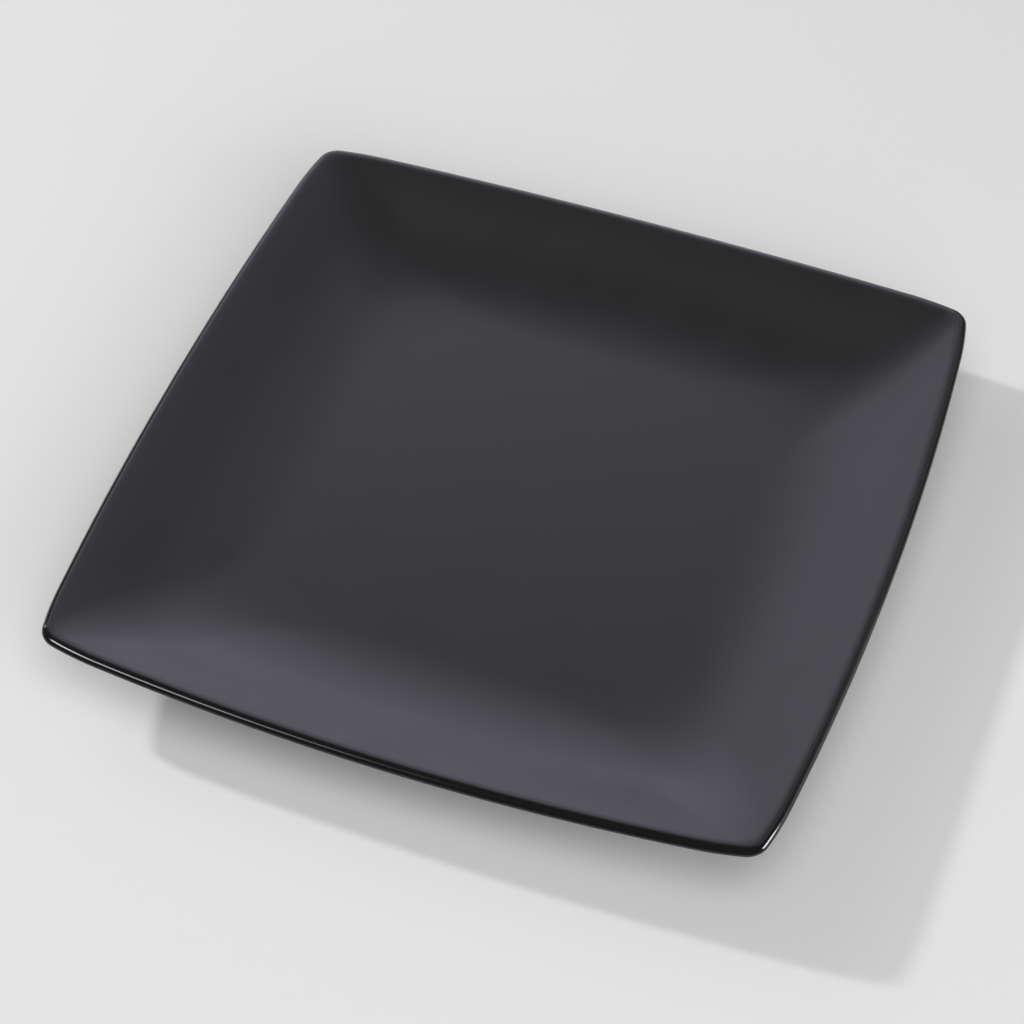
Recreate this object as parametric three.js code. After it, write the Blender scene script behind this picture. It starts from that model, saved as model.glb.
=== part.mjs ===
// A square dessert plate with gently bowed sides and a shallow well: one pressed stoneware body that
// stands on a foot ring, under three coats of black glaze. The face coat is satin. The coat over the
// lip and the outside is glossy, and so is the one inside the foot ring. The ring itself is bare.
// Millimetres, +Z up, origin on the table below the middle of the plate.
import * as THREE from "three";
import { mergeGeometries, mergeVertices } from "three/addons/utils/BufferGeometryUtils.js";

// Driving dimensions of the finished plate
const WIDTH = 205; // between the middles of two opposite sides
const SIDE_RADIUS = 949; // bow of a side, seen from above
const SHOULDER_RADIUS = 93; // stronger bow at both ends of a side
const SIDE_SHARE = 0.864; // share of a side that has the gentler bow
const CORNER_RADIUS = 6.2; // rounding of a corner, seen from above
const CORNER_LIFT = 2.3; // how far the rim rises from mid-side to corner
const LIFT_POWER = 1.5; // how steeply that rise sets in, from the foot out to the rim
const LIP_RADIUS = 2.1; // rounding of the lip, from its crest outwards
const LIP_EDGE = 0.9; // tighter rounding of its lower edge
const LIP_EDGE_START = 28; // degrees above level at which that starts
const LIP_ROLL = 5; // radius with which the wall rolls over into the lip
const ROLL_SLOPE = 20; // slope of the wall where the roll starts, in degrees
const WELL_WIDTH = 112; // flat of the well
const WELL_CORNER_RADIUS = 33;
const WELL_DEPTH = 11.4; // below the top of the lip, mid-side
const WALL_START = 22.5; // how far the level of the well draws the start of the wall's curve out
const WALL_END = 15; // how far the slope at the roll draws its end back down
const FLOOR_THICKNESS = 5;
const FOOT_WIDTH = 128; // outside of the foot ring
const FOOT_CORNER_RADIUS = 22; // outside of the ring too
const FOOT_RING = 5; // width of the ring
const FOOT_HEIGHT = 3;
const FOOT_EDGE = 0.6; // bevel on both edges of the ring's bearing face
const BARE_BAND = 0.4; // clay left bare above each bevel
const UNDERSIDE_TURN = 12; // how far the level under the floor draws the underside's curve out
const INNER_SIDE_RADIUS = 3000; // bow of the sides of the well and the foot, seen from above
const GLAZE = 0.4; // thickness of a coat

// Facets
const SIDE_STEPS = 6; // along a side
const SHOULDER_STEPS = 2; // along each of its shoulders
const CORNER_STEPS = 4; // round a corner
const WALL_STEPS = 6;
const ROLL_STEPS = 2;
const LIP_STEPS = 3;
const LIP_EDGE_STEPS = 3;
const UNDERSIDE_STEPS = 4;
const COVE_STEPS = 2;

const { degToRad, lerp } = THREE.MathUtils;
const at = (x, y) => new THREE.Vector2(x, y);
const along = (angle, length) => at(Math.cos(angle), Math.sin(angle)).multiplyScalar(length);

// Levels, angles and half widths that follow from them
const edgeStart = degToRad(LIP_EDGE_START);
const rollSlope = degToRad(ROLL_SLOPE);
const rimHalf = WIDTH / 2;
const wellHalf = WELL_WIDTH / 2;
const footHalf = FOOT_WIDTH / 2;
const lipHalf = rimHalf - LIP_EDGE - (LIP_RADIUS - LIP_EDGE) * Math.cos(edgeStart); // to the lip's crest
const wellLevel = FOOT_HEIGHT + FLOOR_THICKNESS;
const rimLevel = wellLevel + WELL_DEPTH;
const glazeLine = FOOT_EDGE + BARE_BAND;
const liftStart = Math.max(wellHalf, footHalf);
const quarter = SIDE_STEPS + 2 * SHOULDER_STEPS + CORNER_STEPS;
const spokes = 4 * quarter;

// Radius of the clay's coves, where the foot ring runs into the floor and the underside
const cove = FOOT_HEIGHT + GLAZE - glazeLine;
const footOut = footHalf - GLAZE;
const footIn = footHalf - FOOT_RING + GLAZE;

// The outlines that the contours of the face and of the underside start from. Between the two half
// widths of an outline its contours are parallel, as they are across the foot ring.
const wellOutline = { inner: wellHalf, outer: wellHalf, innerCorner: WELL_CORNER_RADIUS };
const footOutline = { inner: footIn - cove, outer: footOut + cove };
footOutline.innerCorner = FOOT_CORNER_RADIUS - (footHalf - footOutline.inner);

// Radii of the side, shoulder and corner arcs of the contour whose half width is given. Contours shrink
// to the middle inside the outline, ease towards the rim outside it, and run parallel again within the
// lip. Over most of that ease they keep a middling corner, so the corners of the wall are soft hollows.
function contourRadii(half, outline) {
  const { inner, outer, innerCorner } = outline;
  if (half <= inner) {
    const shrink = half / inner;
    return [INNER_SIDE_RADIUS * shrink, INNER_SIDE_RADIUS * shrink, innerCorner * shrink];
  }
  const start = INNER_SIDE_RADIUS + Math.min(half, outer) - inner;
  const startCorner = innerCorner + Math.min(half, outer) - inner;
  if (half <= outer) return [start, start, startCorner];
  const inset = rimHalf - Math.max(half, lipHalf);
  const ease = Math.min(1, (half - outer) / (lipHalf - outer));
  const side = 1 / lerp(1 / start, 1 / (SIDE_RADIUS - inset), ease);
  const shoulder = 1 / lerp(1 / start, 1 / (SHOULDER_RADIUS - inset), ease);
  return [side, shoulder, lerp(startCorner, CORNER_RADIUS - inset, (1 - (1 - 2 * ease) ** 3) / 2)];
}

// Centre of the corner arc, on the diagonal, that a larger arc runs smoothly into.
function cornerCentre(centre, between) {
  const onDiagonal = (centre.x + centre.y + Math.sqrt(2 * between ** 2 - (centre.x - centre.y) ** 2)) / 2;
  return at(onDiagonal, onDiagonal);
}

// Where a spoke crosses that contour: each of four sides is a shoulder, a gentler arc and another
// shoulder, and runs smoothly into a corner arc.
function contourPoint(half, spoke, outline) {
  if (half === 0) return at(0, 0);
  const [side, shoulder, corner] = contourRadii(half, outline);
  const sideCentre = at(half - side, 0);
  const sideTurn = SIDE_SHARE * cornerCentre(sideCentre, side - corner).sub(sideCentre).angle();
  const shoulderCentre = sideCentre.clone().add(along(sideTurn, side - shoulder));
  const endCentre = cornerCentre(shoulderCentre, shoulder - corner);
  const endTurn = endCentre.clone().sub(shoulderCentre).angle();
  let step = spoke % quarter;
  let point;
  for (const [centre, radius, from, to, steps] of [
    [at(shoulderCentre.x, -shoulderCentre.y), shoulder, -endTurn, -sideTurn, SHOULDER_STEPS],
    [sideCentre, side, -sideTurn, sideTurn, SIDE_STEPS],
    [shoulderCentre, shoulder, sideTurn, endTurn, SHOULDER_STEPS],
    [endCentre, corner, endTurn, Math.PI / 2 - endTurn, CORNER_STEPS],
  ]) {
    if (step >= 0 && step < steps) point = along(lerp(from, to, step / steps), radius).add(centre);
    step -= steps;
  }
  for (let turn = 0; turn < Math.floor(spoke / quarter); turn += 1) point.set(-point.y, point.x);
  return point;
}

// Share of the corner lift on each spoke: none at mid-side, all of it at the corner.
const rimCorner = contourPoint(rimHalf, quarter - CORNER_STEPS / 2, wellOutline).x;
const liftShares = [];
for (let spoke = 0; spoke < spokes; spoke += 1) {
  const rim = contourPoint(rimHalf, spoke, wellOutline);
  liftShares.push((rim.x * rim.y / rimCorner ** 2) ** 2);
}

// Sweeps a section, given as half widths and heights, round the contours that start from an outline.
function sweep(section, outline) {
  const geometry = new THREE.LatheGeometry(section, spokes);
  const position = geometry.getAttribute("position");
  for (let i = 0; i < position.count; i += 1) {
    const { x: half, y: height } = section[i % section.length];
    const spoke = Math.floor(i / section.length) % spokes;
    const point = contourPoint(half, spoke, outline);
    const climb = Math.max(0, half - liftStart) / (rimHalf - liftStart);
    const lift = CORNER_LIFT * liftShares[spoke] * climb ** LIFT_POWER;
    position.setXYZ(i, point.x, point.y, height + lift);
  }
  geometry.deleteAttribute("normal");
  geometry.deleteAttribute("uv");
  return geometry;
}

// The same surface with its faces turned over.
function turnedOver(geometry) {
  geometry.setIndex(Array.from(geometry.index.array).reverse());
  return geometry;
}

// Joins surfaces into one closed solid, leaving out the facets that close up on the axis.
function solid(surfaces) {
  const geometry = mergeVertices(mergeGeometries(surfaces), 1e-3);
  const corners = geometry.index.array;
  const kept = [];
  for (let i = 0; i < corners.length; i += 3) {
    const facet = [corners[i], corners[i + 1], corners[i + 2]];
    if (new Set(facet).size === 3) kept.push(...facet);
  }
  geometry.setIndex(kept);
  geometry.computeVertexNormals();
  return geometry;
}

function arc(centre, radius, from, to, steps) {
  return new THREE.EllipseCurve(centre.x, centre.y, radius, radius, from, to, to < from).getPoints(steps);
}

// Section of the bare clay, from the axis under the floor, round the lip and back to the axis on top
const clayEdge = LIP_EDGE - GLAZE;
const clayUnder = FOOT_HEIGHT + GLAZE;
const clayWell = wellLevel - GLAZE;
const lipCentre = at(lipHalf, rimLevel - LIP_RADIUS);
const edgeCentre = along(edgeStart, LIP_RADIUS - LIP_EDGE).add(lipCentre);
const rollCentre = at(lipHalf, rimLevel - LIP_ROLL);
const underFoot = at(footOut + cove, clayUnder);
const underTurn = at(underFoot.x + UNDERSIDE_TURN, clayUnder);

// The underside's last stretch runs straight at the edge of the lip and touches it from below.
const underRun = edgeCentre.clone().sub(underTurn);
const underSlope = underRun.angle() - Math.asin(clayEdge / underRun.length());
const edge = arc(edgeCentre, clayEdge, underSlope - Math.PI / 2, edgeStart, LIP_EDGE_STEPS);
const lip = arc(lipCentre, LIP_RADIUS - GLAZE, edgeStart, Math.PI / 2, LIP_STEPS);
const roll = arc(rollCentre, LIP_ROLL - GLAZE, Math.PI / 2, Math.PI / 2 + rollSlope, ROLL_STEPS);
const rollEnd = roll[ROLL_STEPS];
const wallEnd = rollEnd.clone().sub(along(rollSlope, WALL_END));
const wallStart = at(wellHalf + WALL_START, clayWell);
const wellEdge = at(wellHalf, clayWell);
const underside = new THREE.QuadraticBezierCurve(underFoot, underTurn, edge[0]).getPoints(UNDERSIDE_STEPS);
const wall = new THREE.CubicBezierCurve(rollEnd, wallEnd, wallStart, wellEdge).getPoints(WALL_STEPS);

const underFloor = [
  at(0, clayUnder),
  ...arc(at(footIn - cove, glazeLine), cove, Math.PI / 2, 0, COVE_STEPS),
];
const bearing = [
  at(footIn, FOOT_EDGE),
  at(footIn + FOOT_EDGE, 0),
  at(footOut - FOOT_EDGE, 0),
  at(footOut, FOOT_EDGE),
];
const outside = [
  ...arc(at(footOut + cove, glazeLine), cove, Math.PI, Math.PI / 2, COVE_STEPS),
  ...underside.slice(1),
  ...edge.slice(1),
  ...lip.slice(1),
];
const face = [...roll.slice(1), ...wall.slice(1), at(0, clayWell)];
const clay = [...underFloor, ...bearing, ...outside, ...face];

const innerLine = underFloor.length - 1; // where the glaze stops inside the foot ring
const outerLine = underFloor.length + bearing.length; // and outside it
const seam = outerLine + outside.length - 1; // where the two coats meet, on the crest of the lip
const middle = clay.length - 1;

// The glazed section stands one coat off the clay, square to it.
const glazed = clay.map((point, i) => {
  const normals = [];
  for (const [start, end] of [[i - 1, i], [i, i + 1]]) {
    if (start < 0 || end > middle) continue;
    const run = clay[end].clone().sub(clay[start]).normalize();
    normals.push(at(run.y, -run.x));
  }
  const mitre = normals[0].clone().add(normals[normals.length - 1]);
  return point.clone().addScaledVector(mitre, 2 * GLAZE / mitre.lengthSq());
});

// A coat is its glazed surface, the clay surface that it covers, and an edge wherever it stops.
function coat(from, to, outline) {
  const surfaces = [
    sweep(glazed.slice(from, to + 1), outline),
    turnedOver(sweep(clay.slice(from, to + 1), outline)),
  ];
  if (from > 0) surfaces.push(sweep([clay[from], glazed[from]], outline));
  if (to < middle) surfaces.push(turnedOver(sweep([clay[to], glazed[to]], outline)));
  return solid(surfaces);
}

const body = solid([sweep(clay.slice(0, seam + 1), footOutline), sweep(clay.slice(seam), wellOutline)]);

// Finishes
const bareStoneware = new THREE.MeshStandardMaterial({ color: 0xa99a86, roughness: 0.9, metalness: 0 });
const satinBlack = new THREE.MeshStandardMaterial({ color: 0x2a2a2d, roughness: 0.45, metalness: 0 });
const glossBlack = new THREE.MeshStandardMaterial({ color: 0x151517, roughness: 0.12, metalness: 0 });

const plate = new THREE.Group();
plate.name = "dessert_plate";
for (const [name, geometry, material] of [
  ["stoneware_body", body, bareStoneware],
  ["face_glaze", coat(seam, middle, wellOutline), satinBlack],
  ["outer_glaze", coat(outerLine, seam, footOutline), glossBlack],
  ["base_glaze", coat(0, innerLine, footOutline), glossBlack],
]) {
  const mesh = new THREE.Mesh(geometry, material);
  mesh.name = name;
  plate.add(mesh);
}

export default plate;
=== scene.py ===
import math

import bpy
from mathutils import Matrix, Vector


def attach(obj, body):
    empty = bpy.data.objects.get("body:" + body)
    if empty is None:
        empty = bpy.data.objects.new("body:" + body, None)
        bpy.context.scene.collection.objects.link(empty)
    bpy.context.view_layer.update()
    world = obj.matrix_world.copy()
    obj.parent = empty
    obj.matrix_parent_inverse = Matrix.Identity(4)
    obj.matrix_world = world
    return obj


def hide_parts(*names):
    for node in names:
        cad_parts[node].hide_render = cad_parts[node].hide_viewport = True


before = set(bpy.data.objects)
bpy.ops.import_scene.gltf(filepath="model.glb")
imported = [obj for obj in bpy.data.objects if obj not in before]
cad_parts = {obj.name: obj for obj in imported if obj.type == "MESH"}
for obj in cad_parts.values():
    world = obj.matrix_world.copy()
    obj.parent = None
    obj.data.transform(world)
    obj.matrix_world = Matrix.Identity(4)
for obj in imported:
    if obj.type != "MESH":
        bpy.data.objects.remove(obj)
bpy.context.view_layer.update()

# A square dessert plate with bowed sides and a shallow well. One stoneware body stands on a bare foot
# ring under three coats of black glaze: satin on the face, glossy over the lip and outside, and glossy
# inside the ring. Every piece is a section swept round the same family of bowed squares.

# Driving dimensions of the plate, in millimetres, the same as those of the solids but for the lift
MM = 0.001
WIDTH = 205.0
SIDE_RADIUS = 949.0
SHOULDER_RADIUS = 93.0
SIDE_SHARE = 0.864
CORNER_RADIUS = 6.2
CORNER_LIFT = 2.29  # a hair under the solids' own, because the finer lip rounds up higher than theirs
LIFT_POWER = 1.5
LIP_RADIUS = 2.1
LIP_EDGE = 0.9
LIP_EDGE_START = 28.0
LIP_ROLL = 5.0
ROLL_SLOPE = 20.0
WELL_WIDTH = 112.0
WELL_CORNER_RADIUS = 33.0
WELL_DEPTH = 11.4
WALL_START = 22.5
WALL_END = 15.0
FLOOR_THICKNESS = 5.0
FOOT_WIDTH = 128.0
FOOT_CORNER_RADIUS = 22.0
FOOT_RING = 5.0
FOOT_HEIGHT = 3.0
FOOT_EDGE = 0.6
BARE_BAND = 0.4
UNDERSIDE_TURN = 12.0
INNER_SIDE_RADIUS = 3000.0
GLAZE = 0.4

# What the glaze does where it stops, in millimetres
FEATHER = 0.9  # it thins out over this length above the bare ring
GLAZE_LINE_WAVE = 0.22  # and its edge wanders up and down by this much
GLAZE_LINE_SCALE = 60.0  # about this many times in a metre
GLAZE_LINE_REACH = 2.0  # the wander has died out this far from the edge
SEAM_REACH = 1.3  # satin and gloss blend over this length on either side of the lip's crest

# How finely the pieces are made
SIDE_STEPS = 28
SHOULDER_STEPS = 8
CORNER_STEPS = 16
FLAT_STEPS = 6
WALL_STEPS = 44
ROLL_STEPS = 10
LIP_STEPS = 14
LIP_EDGE_STEPS = 10
UNDERSIDE_STEPS = 30
COVE_STEPS = 24
FOOT_EDGE_STEPS = 5
SHARP_EDGE = math.radians(35)
MERGE_DISTANCE = 0.002 * MM

# Levels and half widths that follow from them
rim_half = WIDTH / 2
well_half = WELL_WIDTH / 2
foot_half = FOOT_WIDTH / 2
well_level = FOOT_HEIGHT + FLOOR_THICKNESS
rim_level = well_level + WELL_DEPTH
glaze_line = FOOT_EDGE + BARE_BAND
edge_start = math.radians(LIP_EDGE_START)
roll_slope = math.radians(ROLL_SLOPE)
lip_half = rim_half - LIP_EDGE - (LIP_RADIUS - LIP_EDGE) * math.cos(edge_start)
lift_start = max(well_half, foot_half)
cove = FOOT_HEIGHT + GLAZE - glaze_line
foot_out = foot_half - GLAZE
foot_in = foot_half - FOOT_RING + GLAZE
foot_inner = foot_in - cove
foot_outer = foot_out + cove
foot_inner_corner = FOOT_CORNER_RADIUS - (foot_half - foot_inner)


# Sections, as half widths and heights, listed from the axis on top out to the lip and back underneath

def along(angle, length):
    """A step of this length at this angle."""
    return length * Vector((math.cos(angle), math.sin(angle)))


def straight(start, end, steps):
    points = []
    for step in range(steps + 1):
        share = step / steps
        points.append(Vector(start).lerp(Vector(end), share))
    return points


def arc(centre, radius, start, end, steps):
    points = []
    for step in range(steps + 1):
        angle = start + (end - start) * step / steps
        points.append(Vector(centre) + along(angle, radius))
    return points


def bend(controls, steps):
    """A smooth curve between the outer controls, pulled towards those in between."""
    points = []
    for step in range(steps + 1):
        row = [Vector(control) for control in controls]
        while len(row) > 1:
            row = [first.lerp(second, step / steps) for first, second in zip(row, row[1:])]
        points.append(row[0])
    return points


clay_edge = LIP_EDGE - GLAZE
clay_under = FOOT_HEIGHT + GLAZE
clay_well = well_level - GLAZE
lip_centre = Vector((lip_half, rim_level - LIP_RADIUS))
edge_centre = lip_centre + along(edge_start, LIP_RADIUS - LIP_EDGE)
roll_centre = Vector((lip_half, rim_level - LIP_ROLL))
well_edge = Vector((well_half, clay_well))
under_foot = Vector((foot_outer, clay_under))
under_turn = under_foot + Vector((UNDERSIDE_TURN, 0))

# The underside's last stretch runs straight at the edge of the lip and touches it from below.
under_run = edge_centre - under_turn
under_slope = math.atan2(under_run.y, under_run.x) - math.asin(clay_edge / under_run.length)
lip = [
    *arc(lip_centre, LIP_RADIUS - GLAZE, math.pi / 2, edge_start, LIP_STEPS),
    *arc(edge_centre, clay_edge, edge_start, under_slope - math.pi / 2, LIP_EDGE_STEPS)[1:],
]
roll = arc(roll_centre, LIP_ROLL - GLAZE, roll_slope + math.pi / 2, math.pi / 2, ROLL_STEPS)
wall_start = well_edge + Vector((WALL_START, 0))
wall_end = roll[0] - along(roll_slope, WALL_END)

clay_face = [
    *straight((0, clay_well), well_edge, FLAT_STEPS),
    *bend((well_edge, wall_start, wall_end, roll[0]), WALL_STEPS)[1:],
    *roll[1:],
]
clay_outside = [
    *lip,
    *bend((lip[-1], under_turn, under_foot), UNDERSIDE_STEPS)[1:],
    *arc((foot_outer, glaze_line), cove, math.pi / 2, math.pi, COVE_STEPS)[1:],
]
clay_bearing = [
    *arc((foot_out - FOOT_EDGE, FOOT_EDGE), FOOT_EDGE, 0, -math.pi / 2, FOOT_EDGE_STEPS),
    *arc((foot_in + FOOT_EDGE, FOOT_EDGE), FOOT_EDGE, -math.pi / 2, -math.pi, FOOT_EDGE_STEPS),
]
clay_under_floor = [
    *arc((foot_inner, glaze_line), cove, 0, math.pi / 2, COVE_STEPS),
    *straight((foot_inner, clay_under), (0, clay_under), FLAT_STEPS)[1:],
]


def distances_along(points):
    """How far each point lies from the first one, along the section."""
    distances = [0.0]
    for previous, point in zip(points, points[1:]):
        distances.append(distances[-1] + (point - previous).length)
    return distances


def distances_back(points):
    return distances_along(points[::-1])[::-1]


def coated(points, thicknesses):
    """The surface that stands a coat's thickness off the clay, square to it."""
    surface = []
    for place, point in enumerate(points):
        normals = []
        for start, end in ((place - 1, place), (place, place + 1)):
            if start >= 0 and end < len(points):
                run = (points[end] - points[start]).normalized()
                normals.append(Vector((-run.y, run.x)))
        mitre = normals[0] + normals[-1]
        surface.append(point + mitre * (2 * thicknesses[place] / mitre.length_squared))
    return surface


def feathered(distances):
    """Thickness of a coat that thins out to nothing where the distances are nought."""
    thicknesses = []
    for distance in distances:
        left = 1 - min(distance / FEATHER, 1)
        thicknesses.append(GLAZE * math.sqrt(1 - left ** 2))
    return thicknesses


def nearness(distances, reach):
    """One where the distances are nought, and nothing from their reach on."""
    return [max(0.0, 1 - distance / reach) ** 2 for distance in distances]


# Node trees

class Wire:
    """A number on its way through a node tree, so that a rule can be written as plain arithmetic."""

    def __init__(self, tree, socket):
        self.tree = tree
        self.socket = socket

    def through(self, operation, *others):
        node = self.tree.nodes.new("ShaderNodeMath")
        node.operation = operation
        for value, socket in zip((self, *others), node.inputs):
            plug(value, socket, self.tree)
        return Wire(self.tree, node.outputs[0])

    def __add__(self, other):
        return self.through("ADD", other)

    def __sub__(self, other):
        return self.through("SUBTRACT", other)

    def __mul__(self, other):
        return self.through("MULTIPLY", other)

    def __truediv__(self, other):
        return self.through("DIVIDE", other)

    def __pow__(self, exponent):
        return self.through("POWER", exponent)

    def at_least(self, other):
        return self.through("MAXIMUM", other)

    def at_most(self, other):
        return self.through("MINIMUM", other)

    def from_number(self, number):
        """The number less this value."""
        return self * -1.0 + number

    def inverse(self):
        return self ** -1.0

    def towards(self, other, share):
        """This value moved by a share of the way to the other."""
        return self + (other - self) * share


def plug(value, socket, tree):
    """Links a wire or a socket to an input, or sets the input to a plain value."""
    if isinstance(value, Wire):
        tree.links.new(value.socket, socket)
    elif isinstance(value, bpy.types.NodeSocket):
        tree.links.new(value, socket)
    else:
        socket.default_value = value


def add_node(tree, kind, inputs=None, **settings):
    node = tree.nodes.new(kind)
    for name, value in settings.items():
        setattr(node, name, value)
    for name, value in (inputs or {}).items():
        plug(value, node.inputs[name], tree)
    return node


def new_group(name, kind, inputs, outputs):
    """A node group with these named sockets, its input node and its output node."""
    tree = bpy.data.node_groups.new(name, kind)
    for in_out, sockets in (("INPUT", inputs), ("OUTPUT", outputs)):
        for socket_name, socket_kind in sockets.items():
            socket_type = "NodeSocket" + socket_kind
            tree.interface.new_socket(name=socket_name, in_out=in_out, socket_type=socket_type)
    return tree, tree.nodes.new("NodeGroupInput"), tree.nodes.new("NodeGroupOutput")


RIM_SIZES = (
    "Rim Half",
    "Side Radius",
    "Shoulder Radius",
    "Side Share",
    "Corner Radius",
    "Lip",
    "Inner Side Radius",
    "Side Steps",
    "Shoulder Steps",
    "Corner Steps",
)
OUTLINE_SIZES = ("Inner Half", "Outer Half", "Inner Corner")


def make_contour_rule():
    """Where a spoke crosses the bowed square of a given half width. Inside its outline such squares
    shrink to the middle, outside it they ease towards the rim, and within the lip they are parallel."""
    names = ("Half Width", "Spoke", *OUTLINE_SIZES, *RIM_SIZES)
    tree, given, result = new_group(
        "bowed square", "GeometryNodeTree",
        {name: "Float" for name in names},
        {"Point": "Vector", "Corner Centre": "Float"},
    )
    wires = [Wire(tree, given.outputs[name]) for name in names]
    half, spoke, inner, outer, inner_corner, *rim_wires = wires
    (rim, side_radius, shoulder_radius, side_share, corner_radius,
     lip_width, inner_side, side_steps, shoulder_steps, corner_steps) = rim_wires

    shrink = (half / inner).at_most(1.0)
    parallel = (half - inner).at_least(0.0).at_most(outer - inner)
    ease = ((half - outer) / (rim - lip_width - outer)).at_least(0.0).at_most(1.0)
    inset = (rim - half).at_most(lip_width)
    start_bow = (inner_side + parallel).inverse()
    side = shrink / start_bow.towards((side_radius - inset).inverse(), ease)
    shoulder = shrink / start_bow.towards((shoulder_radius - inset).inverse(), ease)

    # The corner's radius changes near the outline and near the lip, and hardly in between.
    swing = (ease * 2.0).from_number(1.0)
    corner_ease = (swing * swing * swing).from_number(1.0) * 0.5
    corner = (inner_corner + parallel).towards(corner_radius - inset, corner_ease) * shrink

    def corner_centre(x, y, between):
        """Where on the diagonal the corner arc is centred that a larger arc runs smoothly into."""
        across = x - y
        return (x + y + (between * between * 2.0 - across * across) ** 0.5) * 0.5

    side_x = half - side
    plain_corner = corner_centre(side_x, 0.0, side - corner)
    side_turn = plain_corner.through("ARCTAN2", plain_corner - side_x) * side_share
    shoulder_x = side_x + (side - shoulder) * side_turn.through("COSINE")
    shoulder_y = (side - shoulder) * side_turn.through("SINE")
    diagonal = corner_centre(shoulder_x, shoulder_y, shoulder - corner)
    end_turn = (diagonal - shoulder_y).through("ARCTAN2", diagonal - shoulder_x)

    # Each quarter of the spokes runs over a shoulder, a side, the next shoulder and the corner after it.
    quarter = side_steps + shoulder_steps * 2.0 + corner_steps
    turn = (spoke / quarter).through("FLOOR")
    half_side = side_steps * 0.5
    from_middle = spoke - turn * quarter - shoulder_steps - half_side
    away = from_middle.through("ABSOLUTE")
    on_side = (away / half_side).at_most(1.0)
    on_shoulder = ((away - half_side) / shoulder_steps).at_least(0.0).at_most(1.0)
    on_corner = ((away - half_side - shoulder_steps) / corner_steps).at_least(0.0)
    angle = side_turn * on_side + (end_turn - side_turn) * on_shoulder
    angle = angle + (end_turn * -2.0 + math.pi / 2) * on_corner
    past_side = on_shoulder.through("GREATER_THAN", 0.0)
    past_shoulder = on_corner.through("GREATER_THAN", 0.0)
    centre_x = side_x.towards(shoulder_x, past_side).towards(diagonal, past_shoulder)
    centre_y = (shoulder_y * past_side).towards(diagonal, past_shoulder)
    radius = side.towards(shoulder, past_side).towards(corner, past_shoulder)
    point = add_node(tree, "ShaderNodeCombineXYZ", {
        "X": centre_x + radius * angle.through("COSINE"),
        "Y": (centre_y + radius * angle.through("SINE")) * from_middle.through("SIGN"),
    })
    turned = add_node(tree, "ShaderNodeVectorRotate", {
        "Vector": point.outputs[0],
        "Angle": turn * (math.pi / 2),
    }, rotation_type="Z_AXIS")
    plug(turned.outputs[0], result.inputs["Point"], tree)
    plug(diagonal, result.inputs["Corner Centre"], tree)
    return tree


LIFT_SIZES = ("Corner Lift", "Lift Start", "Lift Power")
FAMILY_SIZES = ("Well Half", "Well Corner", "Foot Inner Half", "Foot Outer Half", "Foot Inner Corner")
WANDER_SIZES = ("Edge Wander", "Wander Scale")


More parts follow.
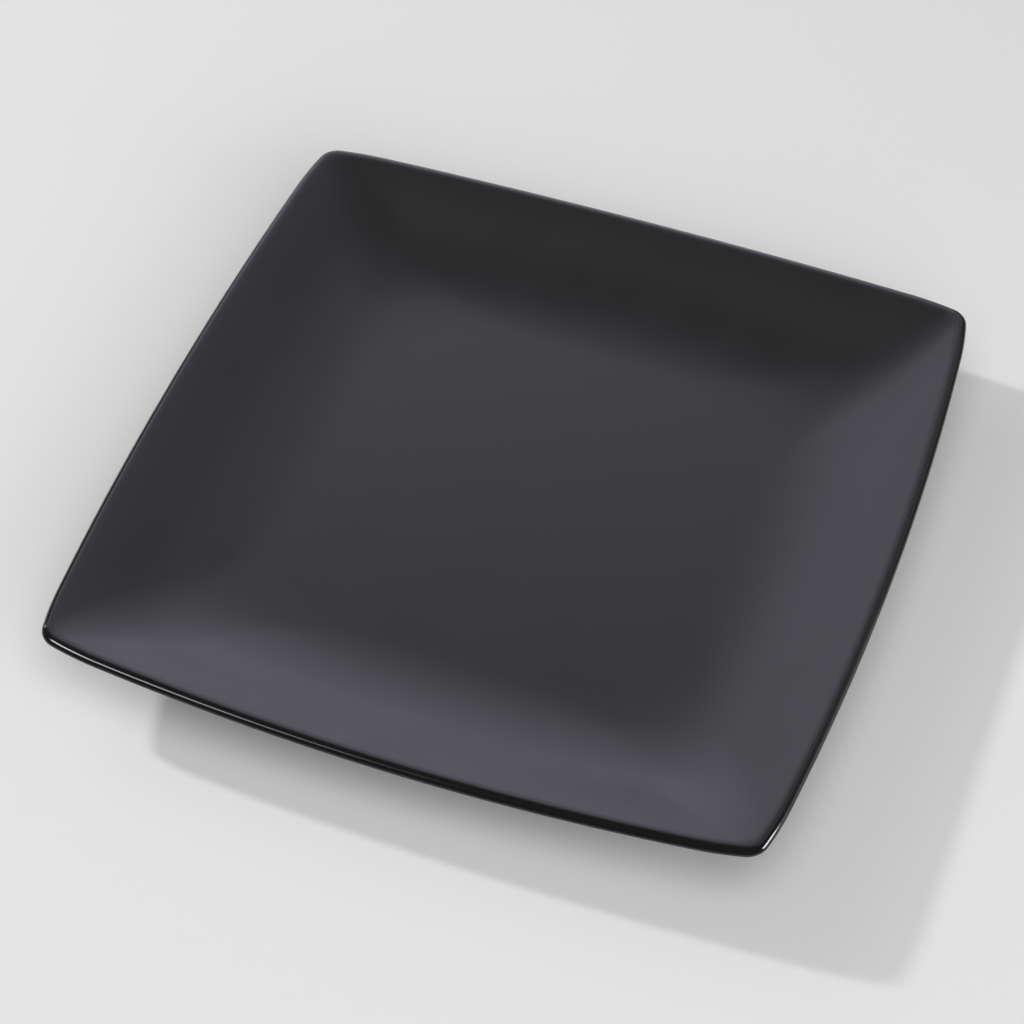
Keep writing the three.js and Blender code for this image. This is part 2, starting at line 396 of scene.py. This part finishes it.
def make_plate_sweep(contour_rule):
    """Sweeps a section round the bowed squares, lifts its corners, and lets its glaze edge wander."""
    sizes = (*RIM_SIZES, *LIFT_SIZES, *FAMILY_SIZES, *WANDER_SIZES)
    tree, given, result = new_group(
        "plate sweep", "GeometryNodeTree",
        {"Section": "Geometry", **{name: "Float" for name in sizes}, "Finish": "Material"},
        {"Piece": "Geometry"},
    )
    size = {name: Wire(tree, given.outputs[name]) for name in sizes}
    section = given.outputs["Section"]

    count = add_node(tree, "GeometryNodeAttributeDomainSize", {"Geometry": section}, component="MESH")
    around = (size["Side Steps"] + size["Shoulder Steps"] * 2.0 + size["Corner Steps"]) * 4.0 + 1.0
    grid = add_node(tree, "GeometryNodeMeshGrid", {
        "Vertices X": count.outputs["Point Count"],
        "Vertices Y": around,
    })
    index = Wire(tree, tree.nodes.new("GeometryNodeInputIndex").outputs[0])
    row = (index / around).through("FLOOR")
    spoke = index - row * around

    def on_section(value, data_type):
        sample = add_node(tree, "GeometryNodeSampleIndex", {
            "Geometry": section,
            "Value": value,
            "Index": row,
        }, data_type=data_type, domain="POINT")
        return sample.outputs["Value"]

    def section_mark(name):
        mark = add_node(tree, "GeometryNodeInputNamedAttribute", {"Name": name}, data_type="FLOAT")
        return Wire(tree, on_section(mark.outputs["Attribute"], "FLOAT"))

    place = add_node(tree, "ShaderNodeSeparateXYZ", {
        "Vector": on_section(tree.nodes.new("GeometryNodeInputPosition").outputs[0], "FLOAT_VECTOR"),
    })
    half = Wire(tree, place.outputs["X"])
    height = Wire(tree, place.outputs["Z"])
    under = section_mark("underneath")
    edge = section_mark("edge")
    seam = section_mark("seam")

    outline = {
        "Inner Half": size["Well Half"].towards(size["Foot Inner Half"], under),
        "Outer Half": size["Well Half"].towards(size["Foot Outer Half"], under),
        "Inner Corner": size["Well Corner"].towards(size["Foot Inner Corner"], under),
    }

    def contour(half_width):
        return add_node(tree, "GeometryNodeGroup", node_tree=contour_rule, inputs={
            "Half Width": half_width,
            "Spoke": spoke,
            **outline,
            **{name: size[name] for name in RIM_SIZES},
        })

    rim = contour(size["Rim Half"])
    rim_point = add_node(tree, "ShaderNodeSeparateXYZ", {"Vector": rim.outputs["Point"]})
    rim_x = Wire(tree, rim_point.outputs["X"])
    rim_corner = Wire(tree, rim.outputs["Corner Centre"]) + size["Corner Radius"] * math.sqrt(0.5)
    corner_share = rim_x * rim_point.outputs["Y"] / (rim_corner * rim_corner)
    climb = (half - size["Lift Start"]).at_least(0.0) / (size["Rim Half"] - size["Lift Start"])
    lift = size["Corner Lift"] * corner_share * corner_share * climb ** size["Lift Power"]

    flat = contour(half).outputs["Point"]
    noise = add_node(tree, "ShaderNodeTexNoise", {
        "Vector": flat,
        "Scale": size["Wander Scale"],
        "Detail": 2.0,
    })
    wander = (Wire(tree, noise.outputs[0]) - 0.5) * 2.0 * size["Edge Wander"] * edge
    rise = add_node(tree, "ShaderNodeCombineXYZ", {"Z": height + lift + wander})
    raised = add_node(tree, "ShaderNodeVectorMath", operation="ADD")
    plug(flat, raised.inputs[0], tree)
    plug(rise.outputs[0], raised.inputs[1], tree)

    shaped = add_node(tree, "GeometryNodeSetPosition", {
        "Geometry": grid.outputs["Mesh"],
        "Position": raised.outputs[0],
    })
    marked = shaped
    for name, value in (("edge", edge), ("seam", seam)):
        marked = add_node(tree, "GeometryNodeStoreNamedAttribute", {
            "Geometry": marked.outputs[0],
            "Name": name,
            "Value": value,
        }, data_type="FLOAT", domain="POINT")
    closed = add_node(tree, "GeometryNodeMergeByDistance", {
        "Geometry": marked.outputs[0],
        "Distance": MERGE_DISTANCE,
    })
    smooth = add_node(tree, "GeometryNodeSetShadeSmooth", {
        "Geometry": closed.outputs[0],
    }, domain="FACE")
    turn = Wire(tree, tree.nodes.new("GeometryNodeInputMeshEdgeAngle").outputs["Unsigned Angle"])
    crisp = add_node(tree, "GeometryNodeSetShadeSmooth", {
        "Geometry": smooth.outputs[0],
        "Selection": turn.through("GREATER_THAN", SHARP_EDGE),
        "Shade Smooth": False,
    }, domain="EDGE")
    whole = add_node(tree, "GeometryNodeRealizeInstances", {"Geometry": crisp.outputs[0]})
    finished = add_node(tree, "GeometryNodeSetMaterial", {
        "Geometry": whole.outputs[0],
        "Material": given.outputs["Finish"],
    })
    plug(finished.outputs[0], result.inputs["Piece"], tree)
    return tree


# Finishes

FIRED_SIZES = ("Mottle Scale", "Speck Scale", "Speck Size", "Speck Share", "Grain Scale")
SMALLEST_SPECK = 0.3  # as a share of the largest
SPECK_EDGE = 3.0  # a speck fades out over the last of this many parts of its radius


def make_fired_surface():
    """What firing leaves in clay and glaze alike: cloudy mottling, a few specks and a fine grain."""
    tree, given, result = new_group(
        "fired surface", "ShaderNodeTree",
        {name: "Float" for name in FIRED_SIZES},
        {"Mottle": "Float", "Specks": "Float", "Grain": "Float"},
    )
    value = {name: Wire(tree, given.outputs[name]) for name in FIRED_SIZES}
    place = add_node(tree, "ShaderNodeTexCoord").outputs["Object"]
    mottle = add_node(tree, "ShaderNodeTexNoise", {
        "Vector": place,
        "Scale": value["Mottle Scale"],
        "Detail": 4.0,
        "Roughness": 0.55,
    })
    grain = add_node(tree, "ShaderNodeTexNoise", {
        "Vector": place,
        "Scale": value["Grain Scale"],
        "Detail": 3.0,
        "Roughness": 0.6,
    })
    cells = add_node(tree, "ShaderNodeTexVoronoi", {"Vector": place, "Scale": value["Speck Scale"]})
    lot = add_node(tree, "ShaderNodeSeparateColor", {"Color": cells.outputs["Color"]})
    chosen = Wire(tree, lot.outputs["Red"]).through("LESS_THAN", value["Speck Share"])
    spread = Wire(tree, lot.outputs["Green"]) * (1 - SMALLEST_SPECK)
    size = value["Speck Size"] * (spread + SMALLEST_SPECK)
    inside = (Wire(tree, cells.outputs["Distance"]) / size).from_number(1.0).at_least(0.0) * SPECK_EDGE
    plug(mottle.outputs[0], result.inputs["Mottle"], tree)
    plug(inside.at_most(1.0) * chosen, result.inputs["Specks"], tree)
    plug(grain.outputs[0], result.inputs["Grain"], tree)
    return tree


def new_finish(name, **sockets):
    """A material with its shader's plain sockets set, its node tree and its shader."""
    material = bpy.data.materials.new(name)
    material.use_nodes = True
    tree = material.node_tree
    shader = tree.nodes["Principled BSDF"]
    for socket_name, value in sockets.items():
        shader.inputs[socket_name.replace("_", " ")].default_value = value
    return material, tree, shader


def mixed(tree, first, second, share):
    """The first colour with a share of the second one over it."""
    node = add_node(tree, "ShaderNodeMix", data_type="RGBA")
    plug(share, node.inputs["Factor"], tree)
    colour_inputs = [socket for socket in node.inputs if socket.type == "RGBA"]
    for colour, socket in zip((first, second), colour_inputs):
        plug(colour, socket, tree)
    return next(socket for socket in node.outputs if socket.type == "RGBA")


def bumped(tree, height, depth):
    bump = add_node(tree, "ShaderNodeBump", {"Height": height, "Distance": depth})
    return bump.outputs[0]


def fired(tree, group, **values):
    """What a node group puts out in this material, by name."""
    node = add_node(tree, "ShaderNodeGroup", node_tree=group)
    for name, value in values.items():
        node.inputs[name.replace("_", " ")].default_value = value
    return {socket.name: Wire(tree, socket) for socket in node.outputs}


def mark_on(tree, name):
    return Wire(tree, add_node(tree, "ShaderNodeAttribute", attribute_name=name).outputs["Fac"])


fired_surface = make_fired_surface()

SATIN_BLACK = (0.0095, 0.0095, 0.0101, 1)
SATIN_BLACK_PALER = (0.0115, 0.0115, 0.0122, 1)
SATIN_SPECK = (0.060, 0.060, 0.064, 1)
GLOSS_BLACK = (0.0035, 0.0035, 0.0040, 1)
GLOSS_BLACK_PALER = (0.0050, 0.0050, 0.0056, 1)
GLOSS_THIN = (0.040, 0.026, 0.017, 1)
BARE_CLAY = (0.42, 0.335, 0.25, 1)
BARE_CLAY_PALER = (0.52, 0.43, 0.335, 1)
IRON_SPECK = (0.085, 0.055, 0.035, 1)
TOASTED_CLAY = (0.24, 0.15, 0.09, 1)
SATIN_ROUGHNESS = 0.38
SATIN_ROUGHNESS_SPREAD = 0.06
SATIN_GRAIN_DEPTH = 0.002  # in millimetres, like the other depths
GLOSS_ROUGHNESS = 0.11
GLOSS_ROUGHNESS_SPREAD = 0.05
GLOSS_GRAIN_DEPTH = 0.006
PIT_ROUGHNESS = 0.2
SEAM_ROUGHNESS = (SATIN_ROUGHNESS + GLOSS_ROUGHNESS) / 2
CLAY_ROUGHNESS = 0.72
CLAY_ROUGHNESS_SPREAD = 0.2
CLAY_GRAIN_DEPTH = 0.05
TOAST_START = 0.5  # the clay is toasted from this share of the way up to the glaze line


def make_satin_glaze():
    material, tree, shader = new_finish("satin black glaze")
    surface = fired(tree, fired_surface, Mottle_Scale=70, Speck_Scale=130, Speck_Size=0.045,
                    Speck_Share=0.10, Grain_Scale=1500)
    cloudy = mixed(tree, SATIN_BLACK, SATIN_BLACK_PALER, surface["Mottle"])
    plug(mixed(tree, cloudy, SATIN_SPECK, surface["Specks"]), shader.inputs["Base Color"], tree)
    satin = (surface["Mottle"] - 0.5) * SATIN_ROUGHNESS_SPREAD + SATIN_ROUGHNESS
    at_seam = mark_on(tree, "seam") * (SEAM_ROUGHNESS - SATIN_ROUGHNESS)
    plug(satin + at_seam, shader.inputs["Roughness"], tree)
    plug(bumped(tree, surface["Grain"], SATIN_GRAIN_DEPTH * MM), shader.inputs["Normal"], tree)
    return material


def make_gloss_glaze():
    material, tree, shader = new_finish("gloss black glaze")
    surface = fired(tree, fired_surface, Mottle_Scale=45, Speck_Scale=160, Speck_Size=0.04,
                    Speck_Share=0.06, Grain_Scale=260)
    cloudy = mixed(tree, GLOSS_BLACK, GLOSS_BLACK_PALER, surface["Mottle"])
    plug(mixed(tree, cloudy, GLOSS_THIN, mark_on(tree, "edge")), shader.inputs["Base Color"], tree)
    gloss = (surface["Mottle"] - 0.5) * GLOSS_ROUGHNESS_SPREAD + GLOSS_ROUGHNESS
    pitted = surface["Specks"] * PIT_ROUGHNESS
    at_seam = mark_on(tree, "seam") * (SEAM_ROUGHNESS - GLOSS_ROUGHNESS)
    plug(gloss + pitted + at_seam, shader.inputs["Roughness"], tree)
    plug(bumped(tree, surface["Grain"], GLOSS_GRAIN_DEPTH * MM), shader.inputs["Normal"], tree)
    return material


def make_bare_stoneware():
    material, tree, shader = new_finish("bare stoneware")
    surface = fired(tree, fired_surface, Mottle_Scale=110, Speck_Scale=520, Speck_Size=0.32,
                    Speck_Share=0.16, Grain_Scale=2600)
    place = add_node(tree, "ShaderNodeSeparateXYZ", {
        "Vector": add_node(tree, "ShaderNodeTexCoord").outputs["Object"],
    })
    up_the_side = Wire(tree, place.outputs["Z"]) / (glaze_line * MM)
    toasted = (up_the_side - TOAST_START).at_least(0.0).at_most(1.0)
    cloudy = mixed(tree, BARE_CLAY, BARE_CLAY_PALER, surface["Mottle"])
    speckled = mixed(tree, cloudy, IRON_SPECK, surface["Specks"])
    plug(mixed(tree, speckled, TOASTED_CLAY, toasted), shader.inputs["Base Color"], tree)
    plug(surface["Grain"] * CLAY_ROUGHNESS_SPREAD + CLAY_ROUGHNESS, shader.inputs["Roughness"], tree)
    plug(bumped(tree, surface["Grain"], CLAY_GRAIN_DEPTH * MM), shader.inputs["Normal"], tree)
    return material


# Pieces

plate_sweep = make_plate_sweep(make_contour_rule())

SWEEP_SIZES = {
    "Rim Half": rim_half * MM,
    "Side Radius": SIDE_RADIUS * MM,
    "Shoulder Radius": SHOULDER_RADIUS * MM,
    "Side Share": SIDE_SHARE,
    "Corner Radius": CORNER_RADIUS * MM,
    "Lip": (rim_half - lip_half) * MM,
    "Inner Side Radius": INNER_SIDE_RADIUS * MM,
    "Side Steps": float(SIDE_STEPS),
    "Shoulder Steps": float(SHOULDER_STEPS),
    "Corner Steps": float(CORNER_STEPS),
    "Corner Lift": CORNER_LIFT * MM,
    "Lift Start": lift_start * MM,
    "Lift Power": LIFT_POWER,
    "Well Half": well_half * MM,
    "Well Corner": WELL_CORNER_RADIUS * MM,
    "Foot Inner Half": foot_inner * MM,
    "Foot Outer Half": foot_outer * MM,
    "Foot Inner Corner": foot_inner_corner * MM,
    "Edge Wander": 0.0,
    "Wander Scale": GLAZE_LINE_SCALE,
}


def make_piece(name, node, slot, finish, section, **sizes):
    """A piece swept from its section, whose points carry a place, a family of squares, and marks for
    the coat's edge and seam. It stands for a solid, which it hides, and takes the finish it is given.
    The slot argument is not used."""
    mesh = bpy.data.meshes.new(name + " section")
    mesh.from_pydata([(row[0].x * MM, 0, row[0].y * MM) for row in section], [], [])
    for column, mark in enumerate(("underneath", "edge", "seam"), start=1):
        values = [float(row[column]) for row in section]
        mesh.attributes.new(mark, "FLOAT", "POINT").data.foreach_set("value", values)
    piece = bpy.data.objects.new(name, mesh)
    bpy.context.scene.collection.objects.link(piece)

    sweep = piece.modifiers.new("sweep", "NODES")
    sweep.node_group = plate_sweep
    settings = {**SWEEP_SIZES, **sizes, "Finish": finish}
    for socket in plate_sweep.interface.items_tree:
        if socket.in_out == "INPUT" and socket.name in settings:
            sweep[socket.identifier] = settings[socket.name]

    swept = piece.evaluated_get(bpy.context.evaluated_depsgraph_get())
    plain = bpy.data.meshes.new_from_object(swept)
    plain.materials.pop(index=0)  # the empty slot that a grid starts with
    piece.modifiers.remove(sweep)
    piece.data = plain
    plain.name = name
    bpy.data.meshes.remove(mesh)
    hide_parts(node)
    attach(piece, "root")


def rows(points, underneath, edges=None, seams=None):
    """Points of a section, each with its family of squares and its marks."""
    none = [0.0] * len(points)
    return [(point, underneath, *marks) for point, *marks in zip(points, edges or none, seams or none)]


satin_glaze = make_satin_glaze()
gloss_glaze = make_gloss_glaze()
bare_stoneware = make_bare_stoneware()
wandering = {"Edge Wander": GLAZE_LINE_WAVE * MM}

clay_section = [
    *rows(clay_face, 0),
    *rows(clay_outside[1:], 1),
    *rows(clay_bearing, 1),
    *rows(clay_under_floor, 1),
]
make_piece("clay_body", "stoneware_body", "stoneware", bare_stoneware, clay_section)

face_seam = nearness(distances_back(clay_face), SEAM_REACH)
face_surface = coated(clay_face + clay_outside[1:2], [GLAZE] * (len(clay_face) + 1))[:-1]
face_section = [
    *rows(face_surface, 0, seams=face_seam),
    *rows(clay_face[::-1], 0),
]
make_piece("satin_face", "face_glaze", "satin_glaze", satin_glaze, face_section)

outside_run = distances_back(clay_outside)
outside_edge = nearness(outside_run, GLAZE_LINE_REACH)
outside_seam = nearness(distances_along(clay_outside), SEAM_REACH)
outside_surface = coated(clay_face[-2:-1] + clay_outside, [GLAZE] + feathered(outside_run))[1:]
outside_section = [
    *rows(outside_surface, 1, outside_edge, outside_seam),
    *rows(clay_outside[::-1], 1, outside_edge[::-1]),
    *rows(outside_surface[:1], 1, outside_edge[:1], outside_seam[:1]),
]
make_piece("gloss_outside", "outer_glaze", "gloss_glaze", gloss_glaze, outside_section, **wandering)

base_run = distances_along(clay_under_floor)
base_edge = nearness(base_run, GLAZE_LINE_REACH)
base_surface = coated(clay_under_floor, feathered(base_run))
base_section = [
    *rows(clay_under_floor[::-1], 1, base_edge[::-1]),
    *rows(base_surface, 1, base_edge),
]
make_piece("gloss_base", "base_glaze", "gloss_glaze", gloss_glaze, base_section, **wandering)


# Table, light and camera

FLOOR_SIZE = 6.0
FLOOR_COLOUR = (0.80, 0.80, 0.795, 1)
FLOOR_ROUGHNESS = 0.9
WORLD_COLOUR = (0.12, 0.12, 0.12, 1)
NEUTRAL = (1.0, 1.0, 1.0)
COOL = (0.86, 0.83, 1.0)

# A card in steps that all end at the same azimuth. Each has the azimuth where it starts and its
# brightness.
LIP_CARD_STEPS = ((-20.5, 1.6), (-24.5, 3.0), (-31.0, 4.0), (-42.0, 8.0))
LIP_CARD_END = -62.0
LIP_CARD_ELEVATION = 49.0
LIP_CARD_DISTANCE = 1.2
LIP_CARD_HEIGHT = 0.25

CAMERA_TARGET = Vector((-0.00074, -0.00667, 0.010))
CAMERA_AZIMUTH = 20.25
CAMERA_ELEVATION = 49.91
CAMERA_DISTANCE = 0.8365
CAMERA_ROLL = 0.049
CAMERA_LENS = 109.65
CAMERA_SENSOR = 36.0
CAMERA_CLIP_START = 0.01


def towards(azimuth, elevation):
    """Unit direction at an azimuth from the front round to the right, and an elevation, in degrees."""
    across = math.cos(math.radians(elevation))
    rise = math.sin(math.radians(elevation))
    turn = math.radians(azimuth)
    return Vector((math.sin(turn) * across, -math.cos(turn) * across, rise))


def add_floor():
    mesh = bpy.data.meshes.new("table")
    half = FLOOR_SIZE / 2
    corners = [(-half, -half, 0), (half, -half, 0), (half, half, 0), (-half, half, 0)]
    mesh.from_pydata(corners, [], [(0, 1, 2, 3)])
    floor = bpy.data.objects.new("table", mesh)
    bpy.context.scene.collection.objects.link(floor)
    material, _, _ = new_finish("pale table", Base_Color=FLOOR_COLOUR, Roughness=FLOOR_ROUGHNESS,
                                Specular_IOR_Level=0.0)
    mesh.materials.append(material)


def add_lamp(name, azimuth, elevation, distance, width, height, brightness, colour, only_for):
    """A soft lamp aimed at the plate, as bright to look at as a white card times its brightness. It is
    there only for the gloss or only for the matt light."""
    light = bpy.data.lights.new(name, "AREA")
    light.shape = "RECTANGLE"
    light.size = width
    light.size_y = height
    light.energy = brightness * math.pi * width * height
    light.color = colour
    lamp = bpy.data.objects.new(name, light)
    lamp.location = towards(azimuth, elevation) * distance
    lamp.rotation_euler = towards(azimuth, elevation).to_track_quat("Z", "Y").to_euler()
    lamp.visible_camera = False
    lamp.visible_glossy = only_for == "gloss"
    lamp.visible_diffuse = only_for == "matt"
    bpy.context.scene.collection.objects.link(lamp)


def add_lip_card():
    """Lights the front lip from the left, brighter in steps towards the left corner."""
    elevation = math.radians(LIP_CARD_ELEVATION)
    for step, (edge, brightness) in enumerate(LIP_CARD_STEPS):
        reach = math.radians(edge - LIP_CARD_END) / 2 * math.cos(elevation)
        width = 2 * LIP_CARD_DISTANCE * math.tan(reach)
        add_lamp(f"lip card {step}", (edge + LIP_CARD_END) / 2, LIP_CARD_ELEVATION, LIP_CARD_DISTANCE,
                 width, LIP_CARD_HEIGHT, brightness, NEUTRAL, only_for="gloss")


add_floor()

# The window casts the shadow, and the overhead lamp and the fills soften it.
add_lamp("window", azimuth=-103, elevation=29, distance=2.0, width=0.12, height=0.12,
         brightness=400, colour=NEUTRAL, only_for="matt")
add_lamp("overhead", azimuth=25, elevation=62, distance=2.0, width=2.0, height=2.0,
         brightness=1.8, colour=NEUTRAL, only_for="matt")
add_lamp("front fill", azimuth=52, elevation=24, distance=2.0, width=2.7, height=0.9,
         brightness=2.7, colour=NEUTRAL, only_for="matt")
add_lamp("back fill", azimuth=-120, elevation=32, distance=2.0, width=1.4, height=0.8,
         brightness=1.4, colour=NEUTRAL, only_for="matt")

# The panels make the sheen on the face.
add_lamp("back panel", azimuth=-152.5, elevation=26.5, distance=1.6, width=1.35, height=1.3,
         brightness=1.64, colour=COOL, only_for="gloss")
add_lamp("low back panel", azimuth=-166, elevation=8.5, distance=1.6, width=0.9, height=0.46,
         brightness=0.66, colour=COOL, only_for="gloss")
add_lamp("far panel", azimuth=166, elevation=46, distance=1.6, width=0.56, height=1.25,
         brightness=0.65, colour=COOL, only_for="gloss")
add_lamp("high right panel", azimuth=138, elevation=31, distance=1.6, width=0.5, height=0.55,
         brightness=0.5, colour=NEUTRAL, only_for="gloss")
add_lamp("right panel", azimuth=110, elevation=9, distance=1.6, width=0.9, height=0.5,
         brightness=1.0, colour=NEUTRAL, only_for="gloss")

# The card and the small lamps make the bright lines on the lip.
add_lip_card()
add_lamp("right lip lamp", azimuth=98, elevation=21, distance=1.2, width=0.55, height=0.32,
         brightness=22, colour=NEUTRAL, only_for="gloss")
add_lamp("left corner lamp", azimuth=-110, elevation=22, distance=1.6, width=0.14, height=0.2,
         brightness=14, colour=NEUTRAL, only_for="gloss")

world = bpy.data.worlds.new("studio")
bpy.context.scene.world = world
world.use_nodes = True
world.node_tree.nodes["Background"].inputs["Color"].default_value = WORLD_COLOUR

camera_data = bpy.data.cameras.new("camera")
camera_data.lens = CAMERA_LENS
camera_data.sensor_width = CAMERA_SENSOR
camera_data.clip_start = CAMERA_CLIP_START
camera = bpy.data.objects.new("camera", camera_data)
camera.location = CAMERA_TARGET + towards(CAMERA_AZIMUTH, CAMERA_ELEVATION) * CAMERA_DISTANCE
camera.rotation_euler = towards(CAMERA_AZIMUTH, CAMERA_ELEVATION).to_track_quat("Z", "Y").to_euler()
camera.rotation_euler.rotate_axis("Z", math.radians(CAMERA_ROLL))
bpy.context.scene.collection.objects.link(camera)
bpy.context.scene.camera = camera

bpy.context.scene.view_settings.view_transform = "Standard"
